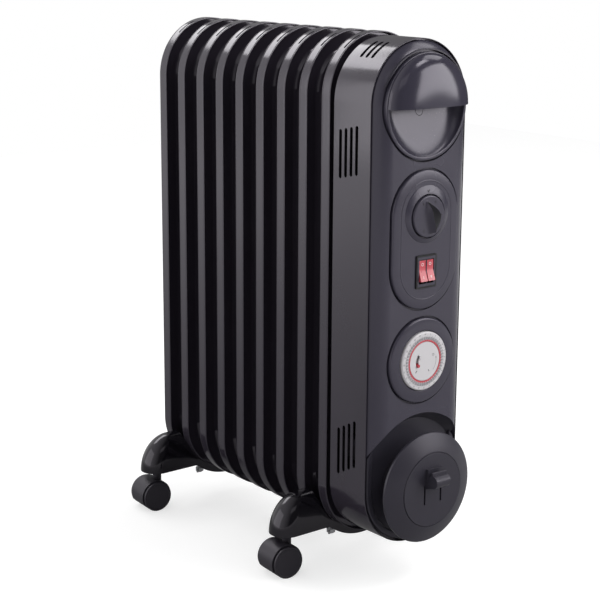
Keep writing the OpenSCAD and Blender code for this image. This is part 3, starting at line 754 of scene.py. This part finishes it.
def base_points():
    """Low hill round the knob: each point lies between an outer circle, whose centre is
    raised by 2.2 mm, and an inner circle about the knob's own axis. A flush rim closes
    the plate round it."""
    t = np.linspace(0, 1, 16)
    between = np.concatenate([[1, 1, 0], t, [1.0, 1.0, 1.0, 1.0]])
    d = np.concatenate([[plate_d - 0.5, plate_d + 0.04, plate_d + 0.06], base_depth(t),
                        [base_depth(1) - 0.5, 16, 13.2, 13.2]])
    r = base_outer + (base_inner - base_outer) * between
    r[:3] = base_edge + 0.2, base_edge, base_outer + 0.3
    r[-3:-1] -= 0.3
    r[-1] = base_edge
    a = full_turn(96)
    return ahead(r * np.cos(a), d, knob_z + base_lift * (1 - between) + r * np.sin(a))


soften(surface("knob_base", base_points(), charcoal, True, True), 0)
print("plate front", round(plate_d, 2))

# %% Knob
grip_turn = math.radians(15)
grip_tip, grip_heel, grip_rise, ridge_shift = 18.8, -19.4, 6.8, -0.2
knob_face_r, knob_face_d = 22.0, 20.5


def across_grip(x, z):
    """Distance to the right of the grip's ridge, in millimetres."""
    return x * math.cos(grip_turn) + z * math.sin(grip_turn) - ridge_shift


def grip_height(x, z):
    """Height of the grip over the knob's face, in millimetres.

    v runs along the ridge to the tip and u across it. The ridge rises quickly from the tip
    and stays high to the heel. To the left of u = 0 it falls in a fillet that widens from
    3.5 to 9 mm; to the right it falls straight, over a width that swells like a leaf."""
    u = across_grip(x, z)
    v = z * math.cos(grip_turn) - x * math.sin(grip_turn)
    t = np.clip((grip_tip - v) / (grip_tip - grip_heel), 0, 1)
    ridge = grip_rise * smooth_step(t, -0.06, 0.34) * (1 - smooth_step(t, 0.95, 1.0))
    leaf = 0.3 + 16.4 * np.clip(np.sin(math.pi * t ** 1.42), 0, 1) ** 0.72
    left = np.clip(1 + u / (3.5 + 5.5 * smooth_step(t, 0, 0.5)), 0, 1) ** 3.2
    right = np.clip(1 - u / leaf, 0, 1)
    return ridge * np.where(u < 0, left, right) * ((v < grip_tip) & (v > grip_heel))


def knob_points(rings=110):
    """Knob: a skirt turned about its axis, then a face whose depth is the grip's height."""
    skirt = np.array([(5, 13.4), (23.1, 13.4), (23.5, 13.8), (23.48, 15.4), (23.42, 18.6),
                      (23.3, 19.4), (23.0, 20.0), (22.6, 20.3)])
    radius = np.concatenate([skirt[:, 0], np.linspace(knob_face_r, 0, rings)])
    base = np.concatenate([skirt[:, 1], np.linspace(20.42, 20.8, rings)])
    a = full_turn(220)
    x, z = radius * np.cos(a), radius * np.sin(a)
    return ahead(x, base + grip_height(x, z) * smooth_step(23.3 - radius, 0, 1.2), knob_z + z)


knob = surface("knob_with_grip", knob_points(), charcoal, True, body="knob")
# The facet right of the ridge takes the darker charcoal: painted shade.
knob.data.materials.append(knob_facet_painted_shade)
middles = np.zeros(3 * len(knob.data.polygons))
knob.data.polygons.foreach_get("center", middles)
x, y, z = middles.reshape(-1, 3).T / MM
on_facet = ((across_grip(x, z - knob_z) > 0.15) & (grip_height(x, z - knob_z) > 0.12)
            & (rim - y > knob_face_d))
knob.data.polygons.foreach_set("material_index", on_facet.astype(np.int32))
soften(knob, 0, angle=50)
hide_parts("thermostat_knob")
print("knob triangles:", 2 * len(knob.data.polygons))

# %% [markdown]
# ## Printed and moulded marks
# Only generic marks are used: the figures 1 to 6 on the knob, a pointer above it, O, I and
# II on the rockers, and the hours on the timer. A text object is made a mesh first. Its
# points are then laid on a surface by a formula for the depth at each (x, z), so that a
# mark follows a tilted rocker or the raised base round the knob.

# %% Flat shapes
def flat(points, faces):
    """A flat mesh from (x, z) points in millimetres, about the centre that it belongs to."""
    mesh = bpy.data.meshes.new("flat")
    mesh.from_pydata([(x, z, 0) for x, z in points], [], faces)
    return mesh


def shape(outline):
    """A flat mesh of one face."""
    return flat(outline, [list(range(len(outline)))])


def ring_shape(r0, r1, x, z, start=0, end=360, steps=24):
    """A flat ring, or a part of one, as quads."""
    inner, outer = (arc_points(x, z, r, start, end, steps) for r in (r0, r1))
    return flat([point for pair in zip(inner, outer) for point in pair],
                [[2 * i, 2 * i + 1, 2 * i + 3, 2 * i + 2] for i in range(steps)])


def at_clock(r, degrees):
    """Point at r from the centre, degrees clockwise from the top."""
    return r * math.sin(math.radians(degrees)), r * math.cos(math.radians(degrees))


def dash(x, z, long, wide, degrees):
    """A small bar centred at (x, z), turned clockwise from upright."""
    (ax, az), (bx, bz) = at_clock(1, degrees), at_clock(1, degrees + 90)
    return shape([(x + ax * l + bx * w, z + az * l + bz * w)
                  for l, w in rectangle(0, 0, long / 2, wide / 2)])


def written(text, size, x, z, turn=0.0):
    """A text as a flat mesh in millimetres, centred at (x, z) and turned anticlockwise."""
    curve = bpy.data.curves.new("written", "FONT")
    curve.body, curve.size = text, size
    curve.align_x = curve.align_y = "CENTER"
    curve.resolution_u = 3
    item = placed("written", curve)
    mesh = evaluated(item)
    bpy.data.objects.remove(item)
    mesh.transform(Matrix.Translation((x, z, 0)) @ Matrix.Rotation(turn, 4, "Z"))
    return mesh


def clock_figures(size, r, turns):
    """Figures from 1 on, one at each of the turns in degrees, upright to the centre."""
    return [written(str(i + 1), size, *at_clock(r, turn), -math.radians(turn))
            for i, turn in enumerate(turns)]


# %% Laying marks on a surface
def laid(name, meshes, middle_z, depth, thick, material, body, place=None):
    """Raises flat meshes to their middle height and gives them a surface's depth at (x, z)
    and a thickness."""
    work = bmesh.new()
    for mesh in meshes:
        work.from_mesh(mesh)
    bmesh.ops.remove_doubles(work, verts=work.verts, dist=1e-4)
    bmesh.ops.recalc_face_normals(work, faces=work.faces)
    made = bmesh.ops.extrude_face_region(work, geom=work.faces[:])
    front = {v for v in made["geom"] if isinstance(v, bmesh.types.BMVert)}
    for vertex in work.verts:
        x, z = vertex.co.x, vertex.co.y
        d = depth(x, z) + (thick if vertex in front else -0.25)
        vertex.co = Vector((x, rim - d, middle_z + z)) * MM
    bmesh.ops.recalc_face_normals(work, faces=work.faces)
    mesh = bpy.data.meshes.new(name)
    work.to_mesh(mesh)
    work.free()
    if place is not None:
        mesh.transform(place)
    mesh.materials.append(material)
    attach(placed(name, mesh), body)


def on_base(x, z):
    """Depth of the knob's base above the knob, where the pointer is printed."""
    top = base_lift + base_outer
    return base_depth((top - z) / (top - base_inner))


laid("knob_figures", clock_figures(4.4, 17.2, range(-92, -400, -60)), knob_z,
     lambda x, z: knob_face_d, 0.16, deep_black, "knob")
pointer = shape([(-2.0, 29.4), (0, 26.2), (2.0, 29.4), (1.2, 29.4), (0, 27.7), (-1.2, 29.4)])
laid("pointer_mark", [pointer], knob_z, on_base, 0.14, deep_black, "heater")
print("marks: figures and pointer")

# %% [markdown]
# ## The double switch
# A black frame snaps through the plate and holds two red rockers on one axle. Their upper
# ends are pressed in. Each carries O above and I or II below, printed in white. The marks
# are laid on a level rocker and then tilted with it.

# %% Frame, rockers and their marks
softened("switch_frame", deep_black, 0.3)
frame_y = rim - front_of("switch_frame")
rocker_x, axle_d, tilt = 5.65, 12.5, math.radians(-10)
field = prism(rectangle(0, switch_z, 13.1, 16.7), frame_y - 0.12, frame_y + 0.3,
              name="switch_field")
cut(field, *(prism(rectangle(x, switch_z, 5.25, 13.6), frame_y - 2, frame_y + 2)
             for x in (-rocker_x, rocker_x)))
field.data.materials.clear()
field.data.materials.append(charcoal)
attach(field, "heater")
axle = Vector((0, rim - axle_d, switch_z)) * MM
tilted = Matrix.Translation(axle) @ Matrix.Rotation(tilt, 4, "X") @ Matrix.Translation(-axle)
for side, x, mark in (("left", -rocker_x, "I"), ("right", rocker_x, "II")):
    softened(f"rocker_{side}", red_gloss, 0.35)
    laid(f"rocker_marks_{side}", [ring_shape(1.25, 1.75, x, 7.2), written(mark, 4.2, x, -7.4)],
         switch_z, lambda x, z: axle_d + 4.7 + abs(z) / 5.9, 0.06, white_print,
         f"{side}_rocker", tilted)

# %% [markdown]
# ## The timer
# A segment timer has a turning ring with the hours, forty-eight small segments that are
# pushed in or out, a red toothed ring, and a fixed white face with a lever. The bezel and
# the ring keep the CAD's sections with softened edges. The teeth are one saw outline, with
# the radius as a function of the angle.

# %% Bezel, dial and segments
softened("timer_bezel", charcoal, 0.35, 3)
softened("timer_dial", white_gloss, 0.35, 3)
softened("timer_tappets", light_grey, 0.12, 1)
softened("timer_face", white_gloss, 0.3)
softened("timer_lever", red_gloss, 0.25)
dial_d, face_d = front_of("timer_dial"), front_of("timer_face")


def saw_ring(inner, low, high, teeth):
    """A flat ring whose outer radius swings between low and high, once for each tooth."""
    a = np.linspace(0, 2 * math.pi, 2 * teeth, endpoint=False)
    outer = np.where(np.arange(2 * teeth) % 2, low, high)
    points = [(r * np.sin(a), r * np.cos(a)) for r in (inner, outer)]
    return flat(np.concatenate(points, 1).T.tolist(), grid_faces(2, 2 * teeth, False, True))


hours = clock_figures(2.5, 31.0, range(15, 361, 15))
for step in range(96):
    length = 0.4 if step % 2 else 1.0
    hours.append(dash(*at_clock(28.5 + length / 2, 3.75 * step), length, 0.18, 3.75 * step))
symbols = [dash(-12.6, -10.4, 3.2, 1.0, 45), dash(6.3, -11.6, 2.6, 1.0, -28),
           ring_shape(1.3, 1.65, 12.6, 5.6, steps=20), dash(12.6, 6.1, 1.1, 0.3, 0),
           dash(12.95, 5.55, 0.8, 0.3, 90), ring_shape(17.2, 17.55, 0, 0, -42, 8),
           shape([(17.9, 1.6), (17.0, 3.9), (16.4, 1.5)]), written("I", 2.6, -7.4, -3.6),
           ring_shape(0.75, 1.05, -7.4, 3.2, steps=16)]
laid("dial_red_teeth", [saw_ring(22.75, 24.0, 25.0, 48)], timer_z, lambda x, z: dial_d, 0.3,
     red_print, "dial")
laid("dial_hours", hours, timer_z, lambda x, z: dial_d, 0.06, grey_print, "dial")
laid("face_symbols", symbols, timer_z, lambda x, z: face_d, 0.05, grey_print, "heater")
print("dial front", round(dial_d, 2), "face front", round(face_d, 2))

# %% [markdown]
# ## The cord spool
# A nearly flat disc stands on a drum and the cord would be wound behind it. The disc is
# turned on a lathe profile: a raised flat middle, a shallow step, a face that falls away
# slowly, and a rolled edge. Two narrow slots are moulded beside the hook. A rounded border
# runs round the recess behind it, which is a racetrack section cut off where the cover ends.

# %% Disc, hook, drum and border
disc_d = front_of("spool_disc")
spool_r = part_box("spool_disc")[1].x / MM
t = np.linspace(0, 1, 26)[1:]
drop = (disc_d - 0.8 - 28.2) * (0.75 * t + 0.25 * t * t)
hub = [(0, 0), (42.2, 0), (42.8, 0.12), (43.1, 0.5), (43.3, 1.5), (43.7, 1.5), (43.9, 0.9)]
edge = [(0.6, 27.9), (0.2, 27.5), (0, 26.9), (0, 25.0), (0.3, 24.4), (0.9, 24.0), (2, 24.1)]
inside = [(40, 4.2), (37, 4.2), (36, 2.4), (0, 2.4)]
disc_section = [*((r, disc_d - behind) for r, behind in hub),
                *zip(43.9 + (spool_r - 45.1) * t, disc_d - 0.8 - drop),
                *((spool_r - inset, d) for inset, d in edge),
                *zip((43 + (spool_r - 46) * t)[::-1], (disc_d - 3.2 - drop)[::-1]),
                *((r, disc_d - behind) for r, behind in inside)]
disc = round_piece("spool_disc_soft", disc_section, spool_z, spool_z, charcoal_dark,
                   closed=False, arc=96)
cut(disc, *(prism(rectangle(x, spool_z - 4.5, 1.2, 11.5), rim - 60, rim - 20)
            for x in (-12.2, 12.4)))
soften(disc, 0.2, 2, 40)
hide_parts("spool_disc")
softened("cord_hook", charcoal_dark, 0.7, 3)
softened("spool_drum", satin_black, 0.5)
softened("spool_plate", charcoal_dark, 0.3)
border_section = [(58.6, -3.8), (58.6, -1.7), (58.9, -0.9), (59.6, -0.2), (60.6, 0.1),
                  (64.6, 0.1), (65.6, -0.2), (66.3, -0.9), (66.6, -1.7), (66.6, -3.8)]
border = round_piece("spool_border", border_section, *shell_z, charcoal_dark, arc=72, side=6)
cut(border, prism(circle(77.15, 128, z=spool_z), rim - 30, rim + 20), operation="INTERSECT")
soften(border, 0.5, 2, 40)
print("spool radius", round(spool_r, 1), "front", round(disc_d, 1))

# %% [markdown]
# ## The feet
# Each foot is a saddle that carries the fins, with a bullet-shaped fender over each caster.
# A fender can be made by subdividing a cage, but its outline has a formula, so it is sliced
# instead: at height z the slice is a rectangle with a round nose, its reach shrinks as an
# ellipse and its half width as a superellipse. The slices are joined, hollowed, and cut by
# the radius of the fins, so that it hugs them.

# %% Fender surfaces
foot_w, stem_x, bolt_x = 40.0, 101.0, 33.2
foot_base, dome_h, dome_reach = 50.0, 46.0, 42.0
saddle_line = (arc_points(0, fin_z[0], 79, 180 + 42.7, 360 - 42.7, 60) + [(58, 70), (57, 70)]
               + arc_points(0, fin_z[0], 69, 360 - 35, 180 + 35, 60) + [(-57, 70), (-58, 70)])


def fender(y, side, inset=0.0, levels=26, nose=32):
    """A fender from its foot to its crown: each slice is a rectangle with a round nose."""
    t = np.minimum(np.sin(np.linspace(0, math.pi / 2, levels)), 0.9995)[:, None]
    half = np.maximum(foot_w / 2 * (1 - t ** 2.6) ** (1 / 2.6) - inset, 0.05)
    reach = 80 + dome_reach * np.sqrt(1 - t ** 2) - inset
    a = np.linspace(-math.pi / 2, math.pi / 2, nose)
    inner = np.full_like(half, 50.0)
    x = np.hstack([inner, reach - half + half * np.cos(a), inner])
    v = np.hstack([-half, half * np.sin(a), half])
    lift = np.where(t == 0, -2.0, 0) if inset else 0
    z = foot_base + dome_h * t - inset * t + lift
    return solid(np.stack(np.broadcast_arrays(side * x, y + v, z), -1), material=gloss_black)


def fin_round(r, y, reach, steps=128):
    """A bar of the fins' own roundness, to cut the fenders by."""
    return prism(circle(r, steps, z=fin_z[0]), y - reach, y + reach)


def uprights(r, x, y, low, high):
    """Two upright cylinders, one on each side of the heater."""
    return [prism(circle(r, 40, side * x, y), low, high, axis=2) for side in (-1, 1)]


# %% Assemble both feet
for label in ("front", "rear"):
    y = centre(f"foot_{label}").y / MM
    foot = prism(saddle_line, y - foot_w / 2 + 0.4, y + foot_w / 2 - 0.4,
                 name=f"foot_{label}_moulded")
    foot.data.materials.append(gloss_black)
    cut(foot, *(fender(y, side) for side in (-1, 1)), operation="UNION")
    hollows = [fender(y, side, 2.6) for side in (-1, 1)]
    for hollow in hollows:
        cut(hollow, fin_round(74, y, 30))
    cut(foot, *hollows)
    cut(foot, *uprights(7, stem_x, y, foot_base + 4, foot_base + 33), operation="UNION")
    cut(foot, *uprights(4.05, stem_x, y, foot_base - 5, foot_base + 27),
        *uprights(10.5, bolt_x, y, 20, 38), fin_round(70.1, y, 40, 160))
    soften(foot, 0.7, 3, 38)
    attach(foot, "heater")
    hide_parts(f"foot_{label}")
    print(foot.name, "faces", len(foot.data.polygons))

# %% [markdown]
# ## Casters, bolts and small metal
# The casters keep their CAD form, because their axles and stems are what the joints turn on.
# Only their edges are rounded and their nylon gets a satin finish. The wing nuts are bright
# zinc, and they show as one small glint under each foot.

# %% Casters
for corner in ("fl", "fr", "rl", "rr"):
    softened(f"caster_{corner}", satin_black, 0.8, 3, 40)
    for wheel in "ab":
        softened(f"wheel_{corner}_{wheel}", satin_black, 0.3, 2, 40)
softened("wing_nuts", zinc, 0.3)

# %% [markdown]
# ## Floor, light and camera
# Black gloss has almost no colour of its own, so what it looks like is what it reflects. The
# surround is white to the camera, but reflections see a studio: bright walls on the left and
# behind, and a floor that grows lighter away from the heater. One large lamp high behind it
# gives the bright band across the shoulders, a small one gives the glints of a window on the
# feet, and four more light the mouldings.

# %% World and floor
def surround(matt=0.6, dim=0.06):
    """White to the camera, of strength matt to matt surfaces, and a studio to reflections:
    white walls on the heater's left and behind it, dim ones on its right and in front."""
    scene.world = scene.world or bpy.data.worlds.new("surround")
    scene.world.use_nodes = True
    tree = scene.world.node_tree
    toward = tree.nodes.new("ShaderNodeVectorMath")
    toward.operation = "DOT_PRODUCT"
    fill(tree, toward, {0: tree.nodes.new("ShaderNodeTexCoord").outputs["Generated"],
                        1: (-0.8, 0.6, 0.0)})
    path = tree.nodes.new("ShaderNodeLightPath").outputs
    mix = fill(tree, tree.nodes.new("ShaderNodeMix"), {
        "Factor": calculated(tree, path["Is Glossy Ray"], path["Is Transmission Ray"], "MAXIMUM"),
        "A": spread(tree, path["Is Camera Ray"], 0, 1, matt, 1.0),
        "B": spread(tree, toward.outputs["Value"], -0.2, 0.65, dim, 1.0)})
    fill(tree, tree.nodes["Background"], {"Color": (1, 1, 1, 1),
                                          "Strength": mix.outputs["Result"]})


def pale_floor(reach=3.2, near=0.7, mirrored=0.85, direct=0.62):
    """A pale matt floor, a little lighter to the camera than to the heater, and lit a little
    from within. In reflections its light grows with the distance from the heater."""
    material = bpy.data.materials.new("pale_floor")
    material.use_nodes = True
    tree = material.node_tree
    path = tree.nodes.new("ShaderNodeLightPath").outputs
    away = tree.nodes.new("ShaderNodeVectorMath")
    away.operation = "LENGTH"
    fill(tree, away, {0: tree.nodes.new("ShaderNodeTexCoord").outputs["Object"]})
    far = spread(tree, away.outputs["Value"], near, reach, 0.0, mirrored)
    fill(tree, tree.nodes["Principled BSDF"], {
        "Roughness": 0.95, "Specular IOR Level": 0.0, "Emission Color": (1, 1, 1, 1),
        "Base Color": spread(tree, path["Is Camera Ray"], 0, 1, 0.42, 0.55),
        "Emission Strength": calculated(
            tree, calculated(tree, path["Is Glossy Ray"], far, "MULTIPLY"),
            calculated(tree, path["Is Camera Ray"], direct, "MULTIPLY"))})
    steps = np.linspace(-reach, reach, 9)
    grid = np.stack([*np.meshgrid(steps, steps, indexing="ij"), np.zeros((9, 9))], -1)
    floor = surface("floor", grid, material, body=None)
    if floor.data.polygons[0].normal.z < 0:
        floor.data.flip_normals()


surround()
pale_floor()

# %% Lamps
def soft_lamp(name, place, aim, size, radiance):
    """A rectangular area lamp at place, facing aim; power = radiance * pi * area."""
    lamp = bpy.data.lights.new(name, "AREA")
    lamp.shape = "RECTANGLE"
    lamp.size, lamp.size_y = size
    lamp.energy = radiance * math.pi * size[0] * size[1]
    item = placed(name, lamp)
    item.location = place
    item.rotation_euler = (Vector(aim) - Vector(place)).to_track_quat("-Z", "Y").to_euler()


soft_lamp("high_back", (-0.15, 2.3, 2.36), (0, 0, 0.55), (2.0, 0.8), 4.1)
soft_lamp("left_wall", (-2.33, 0.92, 0.92), (0, 0, 0.45), (2.6, 1.7), 1.2)
soft_lamp("right_box", (1.35, -1.61, 0.98), (0, -0.15, 0.5), (1.2, 1.1), 5.0)
soft_lamp("over_right", (1.3, -0.5, 2.1), (0, -0.15, 0.55), (1.0, 1.0), 3.0)
soft_lamp("front", (-0.9, -2.4, 2.2), (0, -0.1, 0.4), (1.5, 1.0), 0.6)
soft_lamp("window", (0.85, -1.5, 2.45), (0, 0, 0.1), (0.8, 0.6), 7.0)
print("lamps:", len(bpy.data.lights))

# %% Camera
camera = bpy.data.cameras.new("camera")
camera.lens = 92.876
camera.sensor_width = 36
camera.clip_start, camera.clip_end = 0.05, 60
eye = placed("camera", camera)
eye.matrix_world = Matrix(((0.781457, 0.139265, -0.608219, -1.15328),
                           (-0.623928, 0.184138, -0.759478, -1.40825),
                           (0.006227, 0.972984, 0.230787, 0.73212), (0, 0, 0, 1)))
scene.camera = eye
scene.view_settings.view_transform = "Standard"
print("camera at", [round(v, 3) for v in eye.matrix_world.translation])

# %% Finish
bpy.context.view_layer.update()
